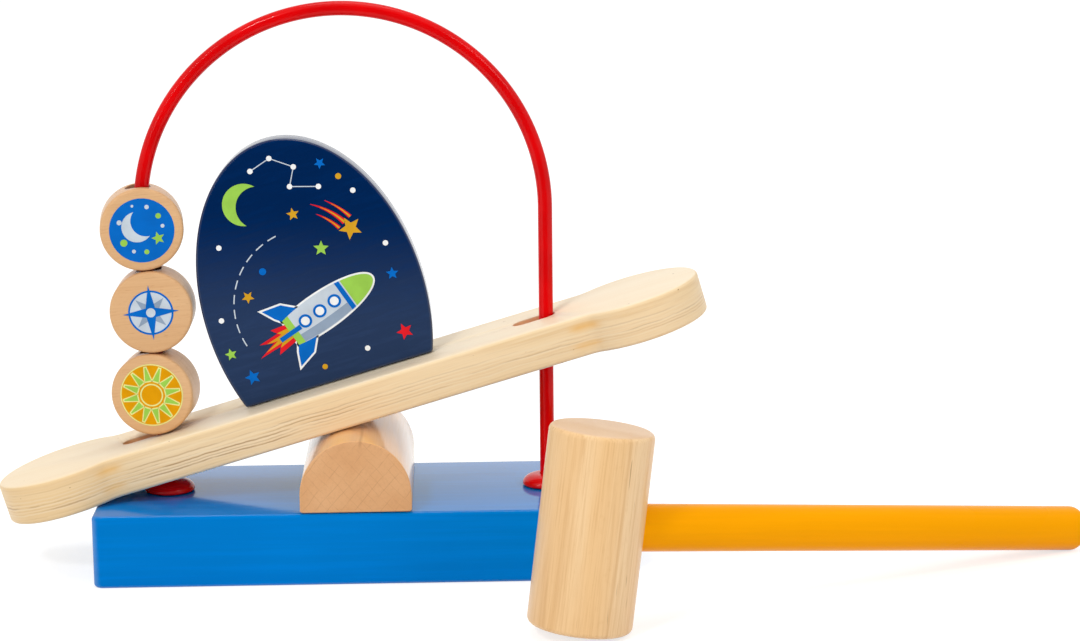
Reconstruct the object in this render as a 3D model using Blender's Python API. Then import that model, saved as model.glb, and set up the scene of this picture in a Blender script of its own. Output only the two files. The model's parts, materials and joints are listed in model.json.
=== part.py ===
"""Hammer bench: a wooden plank that rocks on a half-round block under a wire arch.

Three wooden discs are threaded on the arch and rest on the low end of the plank.
A panel stands on the middle of the plank, and a separate hammer lies beside the bench.
Lengths are in metres. The origin is the centre of the base's underside, +X runs along
the bench, +Y away from its front and +Z up.
"""
import math

import bmesh
import bpy
from mathutils import Matrix, Vector

# Clearances
FIT_GAP = 0.0003
REST_GAP = 0.0005
OVERRUN = 0.001

# Base
BASE_L = 0.191
BASE_W = 0.074
BASE_H = 0.0268
BASE_CORNER_R = 0.0035
BASE_EDGE_R = 0.0015

# Half-round block that the plank rocks on
BLOCK_R = 0.0202
BLOCK_H = 0.0268
BLOCK_FOOT_R = 0.0010
BLOCK_EDGE_R = 0.0006

# Wood screws that hold the block down, from under the base
BLOCK_SCREW_D = 0.0040
BLOCK_SCREW_HEAD_D = 0.0080
BLOCK_SCREW_L = 0.042

# Wire arch: the right leg is upright, the left one splays out a little
LEG_INSET = 0.02525
ARCH_SPLAY = 0.0072
ARCH_CENTRE_H = 0.1047
WIRE_D = 0.0053

# Collars pressed into the base round the wire's legs
COLLAR_D = 0.0185
COLLAR_RIM_H = 0.0012
COLLAR_DOME_H = 0.0044
COLLAR_SLEEVE_D = 0.0090
COLLAR_SLEEVE_L = 0.0110
COLLAR_MOUTH_WALL = 0.0012

# Washer and nut on each leg, sunk in the underside
COUNTERBORE_D = 0.0140
COUNTERBORE_H = 0.0080
WASHER_D = 0.0115
WASHER_T = 0.0010
NUT_ACROSS_FLATS = 0.0080
NUT_H = 0.0040
WIRE_END_H = 0.0012

# Plank of the seesaw
PLANK_OVERHANG = 0.0395
PLANK_SHIFT = 0.0008
PLANK_T = 0.0150
PLANK_WAIST_W = 0.0400
PADDLE_R = 0.0262
WAIST_FILLET_R = 0.0080
PLANK_EDGE_R = 0.0015
SLOT_W = 0.0080
SLOT_PLAY = 0.0006

# Panel that stands on the plank: an ellipse cut flat below its middle
PANEL_DISC_ROOM = 0.0011
PANEL_HALF_H = 0.0624
PANEL_CENTRE_H = 0.0300
PANEL_T = 0.0120
PANEL_OFFSET = 0.0015
PANEL_EDGE_R = 0.0013

# Wood screws that hold the panel, from under the plank
PANEL_SCREW_D = 0.0035
PANEL_SCREW_HEAD_D = 0.0070
PANEL_SCREW_L = 0.033

# Discs threaded on the arch, each at its own place across the wire (its play, positive inwards)
DISC_D = 0.0303
DISC_T = 0.0160
DISC_HOLE_D = 0.0092
DISC_EDGE_R = 0.0012
DISC_GAP = 0.00045
LOW_DISC_PLAY = -0.0014
MIDDLE_DISC_PLAY = 0.0008
TOP_DISC_PLAY = 0.0

# Hammer
HEAD_D = 0.0364
HEAD_L = 0.0696
HEAD_EDGE_R = 0.0022
HANDLE_D = 0.0164
HANDLE_REACH = 0.2105
HANDLE_SEAT_DEPTH = 0.0260
HANDLE_EDGE_R = 0.0040
HAMMER_INSET = 0.0134
HAMMER_STANDOFF = 0.0597

# Angles, with each disc's turn about the wire (its spin)
LOW_DISC_SPIN = math.radians(-6.0)
MIDDLE_DISC_SPIN = math.radians(0.0)
TOP_DISC_SPIN = math.radians(6.0)
HAMMER_YAW = math.radians(26.5)
MIN_TURN = math.radians(1.0)
FLAT_ANGLE = math.radians(35.0)

# Counts
NUT_SIDES = 6
CORNER_STEPS = 6
RIM_STEPS = 3
BEVEL_STEPS = 2
ROUND_STEPS = 40
HOLE_STEPS = 24
ARCH_STEPS = 44
WIRE_SIDE_STEPS = 6
BLOCK_STEPS = 32
PADDLE_STEPS = 18
FILLET_STEPS = 5
PANEL_STEPS = 56
SLOT_STEPS = 10
SOLVE_STEPS = 60

# Height of a countersunk head over its width, and of a screw's point over the shank's
SCREW_HEAD_SHARE = 0.5
SCREW_POINT_SHARE = 1.2

# Distance between two screws over the base's width or over the panel's half width
BLOCK_SCREW_SPACING_SHARE = 0.50
PANEL_SCREW_SPACING_SHARE = 1.17

HALF_SPACING = BASE_L / 2 - LEG_INSET
PLANK_L = BASE_L + 2 * PLANK_OVERHANG
BLOCK_SCREW_SPACING = BASE_W * BLOCK_SCREW_SPACING_SHARE
HAMMER_X = BASE_L / 2 - HAMMER_INSET
HAMMER_Y = -BASE_W / 2 - HAMMER_STANDOFF
WIRE_R = WIRE_D / 2
DISC_R = DISC_D / 2
PIVOT_Z = BASE_H + BLOCK_H
BLOCK_SIDE_H = BLOCK_H - BLOCK_R
LEG_BEND_Z = BASE_H + COLLAR_DOME_H
DISC_NAMES = ("disc_low", "disc_middle", "disc_top")
DISC_PLAYS = (LOW_DISC_PLAY, MIDDLE_DISC_PLAY, TOP_DISC_PLAY)
DISC_SPINS = (LOW_DISC_SPIN, MIDDLE_DISC_SPIN, TOP_DISC_SPIN)
BLOCK_SCREW = (BLOCK_SCREW_D, BLOCK_SCREW_HEAD_D, BLOCK_SCREW_L)
PANEL_SCREW = (PANEL_SCREW_D, PANEL_SCREW_HEAD_D, PANEL_SCREW_L)

COLOURS = {
    "blue_lacquer": ((0.0, 0.170, 0.578), 0.16, 0.0),
    "beech": ((0.640, 0.392, 0.205), 0.50, 0.0),
    "plywood": ((0.800, 0.620, 0.400), 0.48, 0.0),
    "pine": ((0.760, 0.520, 0.280), 0.48, 0.0),
    "navy_lacquer": ((0.010, 0.030, 0.105), 0.24, 0.0),
    "red_coating": ((0.740, 0.002, 0.004), 0.18, 0.0),
    "red_plastic": ((0.620, 0.002, 0.004), 0.14, 0.0),
    "amber_lacquer": ((1.000, 0.360, 0.0), 0.26, 0.0),
    "zinc_steel": ((0.620, 0.620, 0.600), 0.34, 1.0),
}


def make_material(name):
    colour, roughness, metallic = COLOURS[name]
    material = bpy.data.materials.new(name)
    material.use_nodes = True
    shader = material.node_tree.nodes["Principled BSDF"]
    shader.inputs["Base Color"].default_value = (*colour, 1.0)
    shader.inputs["Roughness"].default_value = roughness
    shader.inputs["Metallic"].default_value = metallic
    material.diffuse_color = (*colour, 1.0)
    return material


def add_object(name, mesh, material=None, parent=None):
    """Link a mesh as a named object, with flat faces kept flat and round ones smooth."""
    thing = bpy.data.objects.new(name, mesh)
    bpy.context.scene.collection.objects.link(thing)
    if material:
        mesh.materials.append(MATERIALS[material])
        mesh.shade_smooth()
        mesh.set_sharp_from_angle(angle=FLAT_ANGLE)
    thing.parent = parent
    return thing


def add_empty(name, location, turn=0.0, yaw=0.0, parent=None):
    """Frame turned about Y and then about Z."""
    empty = bpy.data.objects.new(name, None)
    bpy.context.scene.collection.objects.link(empty)
    empty.location = location
    empty.rotation_euler = (0.0, turn, yaw)
    empty.parent = parent
    return empty


def mesh_from(bm, name):
    bmesh.ops.recalc_face_normals(bm, faces=bm.faces)
    mesh = bpy.data.meshes.new(name)
    bm.to_mesh(mesh)
    bm.free()
    return mesh


def arc(centre, radius, start, end, steps):
    """Points on a circle from one angle to another, both ends included."""
    angles = [start + (end - start) * i / steps for i in range(steps + 1)]
    return [(centre[0] + radius * math.cos(a), centre[1] + radius * math.sin(a)) for a in angles]


def prism(name, outline, low, high, upright=False):
    """Solid between two copies of an outline: in plan, or upright with its depth along Y."""
    bm = bmesh.new()
    if upright:
        verts = [bm.verts.new((u, low, v)) for u, v in outline]
        run = Vector((0.0, high - low, 0.0))
    else:
        verts = [bm.verts.new((u, v, low)) for u, v in outline]
        run = Vector((0.0, 0.0, high - low))
    face = bm.faces.new(verts)
    extruded = bmesh.ops.extrude_face_region(bm, geom=[face])["geom"]
    moved = [item for item in extruded if isinstance(item, bmesh.types.BMVert)]
    bmesh.ops.translate(bm, verts=moved, vec=run)
    return mesh_from(bm, name)


def lathe(name, profile, steps, ring=False):
    """Turn a profile of (radius, height) about Z. A ring's profile closes on itself."""
    bm = bmesh.new()
    angles = [math.tau * i / steps for i in range(steps)]
    rows = []
    for radius, height in profile:
        around = angles if radius > 0.0 else angles[:1]
        rows.append([bm.verts.new((radius * math.cos(a), radius * math.sin(a), height)) for a in around])
    pairs = list(zip(rows, rows[1:]))
    if ring:
        pairs.append((rows[-1], rows[0]))
    for lower, upper in pairs:
        for i in range(steps):
            j = (i + 1) % steps
            corners = [lower[k % len(lower)] for k in (i, j)] + [upper[k % len(upper)] for k in (j, i)]
            bm.faces.new(list(dict.fromkeys(corners)))
    return mesh_from(bm, name)


def soften(thing, radius):
    """Round the sharp edges of an object."""
    bevel = thing.modifiers.new("soft_edges", "BEVEL")
    bevel.width = radius
    bevel.segments = BEVEL_STEPS
    bevel.limit_method = "ANGLE"
    bevel.angle_limit = FLAT_ANGLE


def cut(thing, cutter_mesh, location=(0.0, 0.0, 0.0), parent=None, turn=0.0):
    """Take a cutter's shape out of an object."""
    cutter = add_object("cut_" + cutter_mesh.name, cutter_mesh, parent=parent)
    cutter.location = location
    cutter.rotation_euler = (0.0, turn, 0.0)
    cutter.hide_render = True
    cutter.display_type = "WIRE"
    boolean = thing.modifiers.new("cut_" + cutter_mesh.name, "BOOLEAN")
    boolean.operation = "DIFFERENCE"
    boolean.solver = "EXACT"
    boolean.object = cutter
    return cutter


def solve_tilt(along_cos, along_sin, total):
    """Angle a for which along_cos * cos(a) - along_sin * sin(a) equals total."""
    return math.acos(total / math.hypot(along_cos, along_sin)) - math.atan2(along_sin, along_cos)


def rest_tilt():
    """Tilt at which the plank's underside clears the block and the base's end edge by REST_GAP."""
    edge_x = BASE_L / 2 - BASE_EDGE_R
    edge_z = BASE_H - BASE_EDGE_R
    return solve_tilt(PIVOT_Z - edge_z - BLOCK_R, edge_x, BASE_EDGE_R - BLOCK_R)


TILT = rest_tilt()
PIVOT_GAP = BLOCK_R * (1.0 - math.cos(TILT)) + REST_GAP
PLANK_TOP = PIVOT_GAP + PLANK_T
PANEL_LEAN = (PLANK_TOP + PANEL_CENTRE_H) * math.sin(TILT)
PANEL_HALF_W = HALF_SPACING - DISC_R - PANEL_LEAN - PANEL_DISC_ROOM
PANEL_SCREW_SPACING = PANEL_HALF_W * PANEL_SCREW_SPACING_SHARE


class Arch:
    """Centre line of the wire: upright right leg, arc, and a left leg that leans outwards."""

    radius = HALF_SPACING + ARCH_SPLAY / 2
    centre = Vector((-ARCH_SPLAY / 2, BASE_H + ARCH_CENTRE_H))
    foot = Vector((-HALF_SPACING, LEG_BEND_Z))
    reach = centre - foot
    lean = math.atan2(reach.y, reach.x) - math.acos(radius / reach.length)
    leg_length = math.sqrt(reach.length_squared - radius * radius)
    up = Vector((-math.sin(lean), math.cos(lean)))
    inward = Vector((math.cos(lean), math.sin(lean)))

    @classmethod
    def station(cls, distance, play):
        """Place and lean of a disc's centre at a distance up the wire from the left bend."""
        if distance <= cls.leg_length:
            return cls.foot + distance * cls.up + play * cls.inward, cls.lean
        lean = cls.lean - (distance - cls.leg_length) / cls.radius
        outward = Vector((-math.cos(lean), -math.sin(lean)))
        return cls.centre + (cls.radius - play) * outward, lean

    @classmethod
    def resting_distance(cls, tilt, play, spin):
        """Distance up the leg of the lowest disc when it lies on a plank with this tilt."""
        normal = Vector((-math.sin(tilt), math.cos(tilt)))
        askew = math.sin(spin) * normal.dot(cls.inward)
        reach = DISC_R * math.sqrt(1.0 - askew * askew) + DISC_T / 2 * abs(askew)
        start = cls.foot + play * cls.inward - Vector((0.0, PIVOT_Z))
        return (PLANK_TOP + reach + FIT_GAP - normal.dot(start)) / normal.dot(cls.up)

    @classmethod
    def next_distance(cls, distance, play, next_play):
        """Distance of the disc that rests on the one at the given distance."""
        spacing = DISC_D + DISC_GAP
        centre, _ = cls.station(distance, play)
        low = distance + spacing / 2
        high = distance + spacing * 2
        for _ in range(SOLVE_STEPS):
            middle = (low + high) / 2
            if (cls.station(middle, next_play)[0] - centre).length < spacing:
                low = middle
            else:
                high = middle
        return high


def stack(tilt):
    """Distances of the three discs up the wire, lowest first, for a tilt of the plank."""
    distances = [Arch.resting_distance(tilt, LOW_DISC_PLAY, LOW_DISC_SPIN)]
    for play, next_play in zip(DISC_PLAYS, DISC_PLAYS[1:]):
        distances.append(Arch.next_distance(distances[-1], play, next_play))
    return distances


def swing(start, end, play):
    """Centre and angle of the turn that takes a disc from one station to another."""
    place_a, lean_a = Arch.station(start, play)
    place_b, lean_b = Arch.station(end, play)
    turn = max(lean_a - lean_b, MIN_TURN)
    run = place_b - place_a
    middle = (place_a + place_b) / 2
    return middle + Vector((run.y, -run.x)) / (2 * math.tan(turn / 2)), turn


def rounded_box_outline(length, width, radius):
    outline = []
    for quarter, (sx, sy) in enumerate(((1, 1), (-1, 1), (-1, -1), (1, -1))):
        centre = (sx * (length / 2 - radius), sy * (width / 2 - radius))
        start = quarter * math.pi / 2
        outline += arc(centre, radius, start, start + math.pi / 2, CORNER_STEPS)
    return outline


def leg_hole_mesh():
    """Stepped hole for a leg: sleeve at the top, wire, and the nut's counterbore below."""
    sleeve_r = COLLAR_SLEEVE_D / 2 + FIT_GAP
    wire_r = WIRE_R + FIT_GAP
    bore_r = COUNTERBORE_D / 2
    sleeve_z = BASE_H - COLLAR_SLEEVE_L - FIT_GAP
    profile = [
        (0.0, -OVERRUN), (bore_r, -OVERRUN), (bore_r, COUNTERBORE_H), (wire_r, COUNTERBORE_H),
        (wire_r, sleeve_z), (sleeve_r, sleeve_z), (sleeve_r, BASE_H + OVERRUN), (0.0, BASE_H + OVERRUN),
    ]
    return lathe("leg_hole", profile, HOLE_STEPS)


def screw_mesh(name, diameter, head_diameter, length):
    """Countersunk screw from its head's face at zero up to its point."""
    head_h = head_diameter * SCREW_HEAD_SHARE
    point_h = diameter * SCREW_POINT_SHARE
    head_r = head_diameter / 2
    shank_r = diameter / 2
    profile = [(0.0, 0.0), (head_r, 0.0), (shank_r, head_h), (shank_r, length - point_h), (0.0, length)]
    return lathe(name, profile, HOLE_STEPS)


def screw_hole_mesh(name, diameter, head_diameter, length):
    """Hole for a screw: its shape with the clearance all round, run on below the head's face."""
    head_h = head_diameter * SCREW_HEAD_SHARE
    point_h = diameter * SCREW_POINT_SHARE
    head_r = head_diameter / 2 + FIT_GAP
    shank_r = diameter / 2 + FIT_GAP
    profile = [
        (0.0, -OVERRUN), (head_r, -OVERRUN), (head_r, 0.0), (shank_r, head_h),
        (shank_r, length - point_h + FIT_GAP), (0.0, length + FIT_GAP),
    ]
    return lathe(name, profile, HOLE_STEPS)


def add_base():
    """Lacquered block with the stepped holes of the two legs and the holes of the block's screws."""
    outline = rounded_box_outline(BASE_L, BASE_W, BASE_CORNER_R)
    base = add_object("base_block", prism("base_block", outline, 0.0, BASE_H), "blue_lacquer")
    soften(base, BASE_EDGE_R)
    leg_hole = leg_hole_mesh()
    screw_hole = screw_hole_mesh("base_screw_hole", *BLOCK_SCREW)
    for side in (-1, 1):
        cut(base, leg_hole, (side * HALF_SPACING, 0.0, 0.0))
        cut(base, screw_hole, (0.0, side * BLOCK_SCREW_SPACING / 2, FIT_GAP))


def add_block():
    """Half-round block, its ends flush with the base's front and back, and its two screws."""
    half_w = BLOCK_R
    low = BASE_H + FIT_GAP
    foot_z = low + BLOCK_FOOT_R
    side_z = BASE_H + BLOCK_SIDE_H
    outline = arc((half_w - BLOCK_FOOT_R, foot_z), BLOCK_FOOT_R, -math.pi / 2, 0.0, RIM_STEPS)
    outline += arc((0.0, side_z), BLOCK_R, 0.0, math.pi, BLOCK_STEPS)
    outline += arc((BLOCK_FOOT_R - half_w, foot_z), BLOCK_FOOT_R, math.pi, math.pi * 3 / 2, RIM_STEPS)
    mesh = prism("fulcrum_block", outline, -BASE_W / 2, BASE_W / 2, upright=True)
    block = add_object("fulcrum_block", mesh, "beech")
    soften(block, BLOCK_EDGE_R)
    screw = screw_mesh("fulcrum_screw", *BLOCK_SCREW)
    screw_hole = screw_hole_mesh("block_screw_hole", *BLOCK_SCREW)
    for side, word in ((-1, "front"), (1, "back")):
        place = (0.0, side * BLOCK_SCREW_SPACING / 2, FIT_GAP)
        cut(block, screw_hole, place)
        add_object("fulcrum_screw_" + word, screw, "zinc_steel").location = place


def add_arch():
    """Bent wire whose ends run down through the base to their nuts."""
    points = [Vector((-HALF_SPACING, WIRE_END_H)), Arch.foot]
    start = math.pi + Arch.lean
    for i in range(ARCH_STEPS + 1):
        angle = start * (1.0 - i / ARCH_STEPS)
        points.append(Arch.centre + Arch.radius * Vector((math.cos(angle), math.sin(angle))))
    points.append(Vector((HALF_SPACING, WIRE_END_H)))
    curve = bpy.data.curves.new("wire_arch", "CURVE")
    curve.dimensions = "3D"
    curve.bevel_depth = WIRE_R
    curve.bevel_resolution = WIRE_SIDE_STEPS
    curve.use_fill_caps = True
    spline = curve.splines.new("POLY")
    spline.points.add(len(points) - 1)
    for slot, point in zip(spline.points, points):
        slot.co = (point.x, 0.0, point.y, 1.0)
    curve.materials.append(MATERIALS["red_coating"])
    wire = bpy.data.objects.new("wire_arch", curve)
    bpy.context.scene.collection.objects.link(wire)


def collar_mesh():
    """Domed flange with a sleeve below it and the wire's bore through both."""
    bore_r = WIRE_R + FIT_GAP
    mouth_r = bore_r + COLLAR_MOUTH_WALL
    sleeve_r = COLLAR_SLEEVE_D / 2
    flange_r = COLLAR_D / 2
    dome_h = COLLAR_DOME_H - COLLAR_RIM_H
    profile = [
        (bore_r, -COLLAR_SLEEVE_L), (sleeve_r, -COLLAR_SLEEVE_L), (sleeve_r, FIT_GAP),
        (flange_r, FIT_GAP), (flange_r, COLLAR_RIM_H),
    ]
    for i in range(1, CORNER_STEPS + 1):
        angle = math.pi / 2 * i / CORNER_STEPS
        radius = mouth_r + (flange_r - mouth_r) * math.cos(angle)
        profile.append((radius, COLLAR_RIM_H + dome_h * math.sin(angle)))
    profile.append((bore_r, COLLAR_DOME_H))
    return lathe("collar", profile, ROUND_STEPS, ring=True)


def washer_mesh():
    inner = WIRE_R + FIT_GAP
    profile = [(inner, 0.0), (WASHER_D / 2, 0.0), (WASHER_D / 2, WASHER_T), (inner, WASHER_T)]
    return lathe("leg_washer", profile, HOLE_STEPS, ring=True)


def add_leg_fasteners():
    """Collar, washer and nut of each leg."""
    collar = collar_mesh()
    washer = washer_mesh()
    nut_r = NUT_ACROSS_FLATS / 2 / math.cos(math.pi / NUT_SIDES)
    hexagon = arc((0.0, 0.0), nut_r, 0.0, math.tau, NUT_SIDES)[:-1]
    nut = prism("leg_nut", hexagon, 0.0, NUT_H)
    bore_r = WIRE_R + FIT_GAP
    bore = lathe(
        "nut_bore",
        [(0.0, -OVERRUN), (bore_r, -OVERRUN), (bore_r, NUT_H + OVERRUN), (0.0, NUT_H + OVERRUN)],
        HOLE_STEPS,
    )
    washer_z = COUNTERBORE_H - FIT_GAP - WASHER_T
    nut_z = washer_z - FIT_GAP - NUT_H
    for side, word in ((-1, "left"), (1, "right")):
        x = side * HALF_SPACING
        add_object("collar_" + word, collar, "red_plastic").location = (x, 0.0, BASE_H)
        add_object("leg_washer_" + word, washer, "zinc_steel").location = (x, 0.0, washer_z)
        leg_nut = add_object("leg_nut_" + word, nut, "zinc_steel")
        leg_nut.location = (x, 0.0, nut_z)
        cut(leg_nut, bore, (x, 0.0, nut_z))


def plank_outline():
    """Straight waist that runs through concave fillets into two round paddles."""
    waist = PLANK_WAIST_W / 2
    paddle_x = PLANK_L / 2 - PADDLE_R
    fillet_y = waist + WAIST_FILLET_R
    reach = PADDLE_R + WAIST_FILLET_R
    fillet_x = paddle_x - math.sqrt(reach * reach - fillet_y * fillet_y)
    lean = math.atan2(fillet_y, fillet_x - paddle_x)
    quarter = arc((fillet_x, fillet_y), WAIST_FILLET_R, math.pi * 3 / 2, math.pi + lean, FILLET_STEPS)
    quarter += arc((paddle_x, 0.0), PADDLE_R, lean, 0.0, PADDLE_STEPS)[1:]
    right = quarter + [(x, -y) for x, y in reversed(quarter[:-1])]
    return [(x + PLANK_SHIFT, y) for x, y in right] + [(PLANK_SHIFT - x, -y) for x, y in right]


def slot_span(foot, up):
    """Least and greatest place along the plank that a leg reaches, over the whole tilt."""
    places = []
    for tilt in (-TILT, 0.0, TILT):
        along = Vector((math.cos(tilt), math.sin(tilt)))
        normal = Vector((-math.sin(tilt), math.cos(tilt)))
        start = foot - Vector((0.0, PIVOT_Z))
        for height in (PIVOT_GAP, PLANK_TOP):
            rise = (height - normal.dot(start)) / normal.dot(up)
            middle = along.dot(start + rise * up)
            reach = WIRE_R / normal.dot(up) + SLOT_PLAY
            places += [middle - reach, middle + reach]
    return min(places), max(places)


def slot_mesh(low, high, name):
    end_r = SLOT_W / 2
    outline = arc((high - end_r, 0.0), end_r, -math.pi / 2, math.pi / 2, SLOT_STEPS)
    outline += arc((low + end_r, 0.0), end_r, math.pi / 2, math.pi * 3 / 2, SLOT_STEPS)
    return prism(name, outline, PIVOT_GAP - OVERRUN, PLANK_TOP + OVERRUN)


def add_seesaw():
    """Plank, panel and panel screws, in a frame on the pivot line turned to the resting tilt."""
    pivot = add_empty("seesaw_pivot", (0.0, 0.0, PIVOT_Z), turn=-TILT)
    mesh = prism("seesaw_plank", plank_outline(), PIVOT_GAP, PLANK_TOP)
    plank = add_object("seesaw_plank", mesh, "plywood", pivot)
    soften(plank, PLANK_EDGE_R)
    right_foot = Vector((HALF_SPACING, LEG_BEND_Z))
    legs = (("left_slot", Arch.foot, Arch.up), ("right_slot", right_foot, Vector((0.0, 1.0))))
    for name, foot, up in legs:
        low, high = slot_span(foot, up)
        cut(plank, slot_mesh(low, high, name), parent=pivot)
    panel = add_panel(pivot)
    screw = screw_mesh("panel_screw", *PANEL_SCREW)
    hole = screw_hole_mesh("panel_screw_hole", *PANEL_SCREW)
    for side, word in ((-1, "left"), (1, "right")):
        place = (side * PANEL_SCREW_SPACING / 2, 0.0, PIVOT_GAP + FIT_GAP)
        cut(plank, hole, place, pivot)
        cut(panel, hole, place, pivot)
        add_object("panel_screw_" + word, screw, "zinc_steel", pivot).location = place


def add_panel(pivot):
    """Upright panel: an ellipse cut off flat where it stands on the plank."""
    foot_z = PLANK_TOP + FIT_GAP
    start = math.asin(-PANEL_CENTRE_H / PANEL_HALF_H)
    outline = []
    for i in range(PANEL_STEPS + 1):
        angle = start + (math.pi - 2 * start) * i / PANEL_STEPS
        height = foot_z + PANEL_CENTRE_H + PANEL_HALF_H * math.sin(angle)
        outline.append((PANEL_HALF_W * math.cos(angle) - PANEL_OFFSET, height))
    mesh = prism("sky_panel", outline, -PANEL_T / 2, PANEL_T / 2, upright=True)
    panel = add_object("sky_panel", mesh, "navy_lacquer", pivot)
    soften(panel, PANEL_EDGE_R)
    return panel


def disc_mesh(spin):
    """Round disc with rounded rims, its axis along Y and then turned about Z by the spin."""
    half_t = DISC_T / 2
    rim = arc((DISC_R - DISC_EDGE_R, -half_t + DISC_EDGE_R), DISC_EDGE_R, -math.pi / 2, 0.0, RIM_STEPS)
    rim += arc((DISC_R - DISC_EDGE_R, half_t - DISC_EDGE_R), DISC_EDGE_R, 0.0, math.pi / 2, RIM_STEPS)
    mesh = lathe("disc", [(0.0, -half_t)] + rim + [(0.0, half_t)], ROUND_STEPS)
    mesh.transform(Matrix.Rotation(spin, 4, "Z") @ Matrix.Rotation(math.pi / 2, 4, "X"))
    return mesh


def add_discs():
    """Discs at rest. Each is carried by a frame on the axis that it turns about."""
    hole_r = DISC_HOLE_D / 2
    run = DISC_R + OVERRUN
    hole = lathe("disc_hole", [(0.0, -run), (hole_r, -run), (hole_r, run), (0.0, run)], HOLE_STEPS)
    for name, play, spin, start, end in zip(DISC_NAMES, DISC_PLAYS, DISC_SPINS, stack(TILT), stack(-TILT)):
        place, lean = Arch.station(start, play)
        centre = place
        if Arch.station(end, play)[1] < lean:
            centre, _ = swing(start, end, play)
        carrier = add_empty(name + "_carrier", (centre.x, 0.0, centre.y))
        offset = place - centre
        thing = add_object(name, disc_mesh(spin), "beech", carrier)
        thing.location = (offset.x, 0.0, offset.y)
        thing.rotation_euler = (0.0, -lean, 0.0)
        cut(thing, hole, (offset.x, 0.0, offset.y), carrier, -lean)


def add_hammer():
    """Hammer that leans on the lower rim of its head and on the end of its handle."""
    head_r = HEAD_D / 2
    handle_r = HANDLE_D / 2
    drop = solve_tilt(
        (HEAD_L / 2 - HEAD_EDGE_R) - (handle_r - HANDLE_EDGE_R),
        (HANDLE_REACH - HANDLE_EDGE_R) - (head_r - HEAD_EDGE_R),
        HANDLE_EDGE_R - HEAD_EDGE_R,
    )
    rim_z = (HEAD_L / 2 - HEAD_EDGE_R) * math.cos(drop) + (head_r - HEAD_EDGE_R) * math.sin(drop)
    height = rim_z + HEAD_EDGE_R
    grip = add_empty("hammer_frame", (HAMMER_X, HAMMER_Y, height), turn=drop, yaw=HAMMER_YAW)

    half_l = HEAD_L / 2
    rim = arc((head_r - HEAD_EDGE_R, HEAD_EDGE_R - half_l), HEAD_EDGE_R, -math.pi / 2, 0.0, RIM_STEPS)
    rim += arc((head_r - HEAD_EDGE_R, half_l - HEAD_EDGE_R), HEAD_EDGE_R, 0.0, math.pi / 2, RIM_STEPS)
    mesh = lathe("hammer_head", [(0.0, -half_l)] + rim + [(0.0, half_l)], ROUND_STEPS)
    head = add_object("hammer_head", mesh, "pine", grip)

    seat = head_r - HANDLE_SEAT_DEPTH
    socket_r = handle_r + FIT_GAP
    profile = [(0.0, seat), (socket_r, seat), (socket_r, head_r + OVERRUN), (0.0, head_r + OVERRUN)]
    socket = lathe("handle_socket", profile, ROUND_STEPS)
    socket.transform(Matrix.Rotation(math.pi / 2, 4, "Y"))
    cut(head, socket, parent=grip)

    tip_centre = (handle_r - HANDLE_EDGE_R, HANDLE_REACH - HANDLE_EDGE_R)
    tip = arc(tip_centre, HANDLE_EDGE_R, 0.0, math.pi / 2, CORNER_STEPS)
    inner = seat + FIT_GAP
    profile = [(0.0, inner), (handle_r, inner)] + tip + [(0.0, HANDLE_REACH)]
    mesh = lathe("hammer_handle", profile, ROUND_STEPS)
    mesh.transform(Matrix.Rotation(math.pi / 2, 4, "Y"))
    add_object("hammer_handle", mesh, "amber_lacquer", grip)


for old in list(bpy.data.objects):
    bpy.data.objects.remove(old, do_unlink=True)
MATERIALS = {name: make_material(name) for name in COLOURS}
add_base()
add_block()
add_arch()
add_leg_fasteners()
add_seesaw()
add_discs()
add_hammer()
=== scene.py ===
"""Hammer bench toy: a plank that rocks under a wire arch, three threaded discs and a hammer.

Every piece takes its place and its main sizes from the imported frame, in metres.
"""
import json
import math

import bmesh
import bpy
from mathutils import Matrix, Vector


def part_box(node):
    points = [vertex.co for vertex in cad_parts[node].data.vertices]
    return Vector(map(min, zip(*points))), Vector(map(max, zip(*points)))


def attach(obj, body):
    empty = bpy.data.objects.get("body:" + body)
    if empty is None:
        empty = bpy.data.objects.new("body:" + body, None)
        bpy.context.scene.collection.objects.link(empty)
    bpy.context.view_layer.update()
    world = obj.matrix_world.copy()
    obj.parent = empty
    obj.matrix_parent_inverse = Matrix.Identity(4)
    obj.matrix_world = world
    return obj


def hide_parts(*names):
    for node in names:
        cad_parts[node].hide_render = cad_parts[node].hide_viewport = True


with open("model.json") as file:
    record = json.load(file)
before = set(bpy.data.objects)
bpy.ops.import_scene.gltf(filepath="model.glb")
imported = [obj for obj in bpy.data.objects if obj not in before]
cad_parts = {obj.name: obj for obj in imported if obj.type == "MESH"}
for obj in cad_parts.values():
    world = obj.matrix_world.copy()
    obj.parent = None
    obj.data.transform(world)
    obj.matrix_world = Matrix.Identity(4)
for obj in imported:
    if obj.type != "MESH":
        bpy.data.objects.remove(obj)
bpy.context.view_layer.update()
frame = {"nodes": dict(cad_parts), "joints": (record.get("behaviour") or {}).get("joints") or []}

NODES = frame["nodes"]
JOINTS = {joint["name"]: joint for joint in frame["joints"]}

# Camera, as fitted to the photograph
CAMERA_PLACE = Vector((0.03945, -1.06185, 0.30536))
CAMERA_AZIMUTH = math.radians(1.54)
CAMERA_DIP = math.radians(11.5)
CAMERA_ROLL = -0.00916
CAMERA_LENS = 97.86
CAMERA_SENSOR = 36.0

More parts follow.
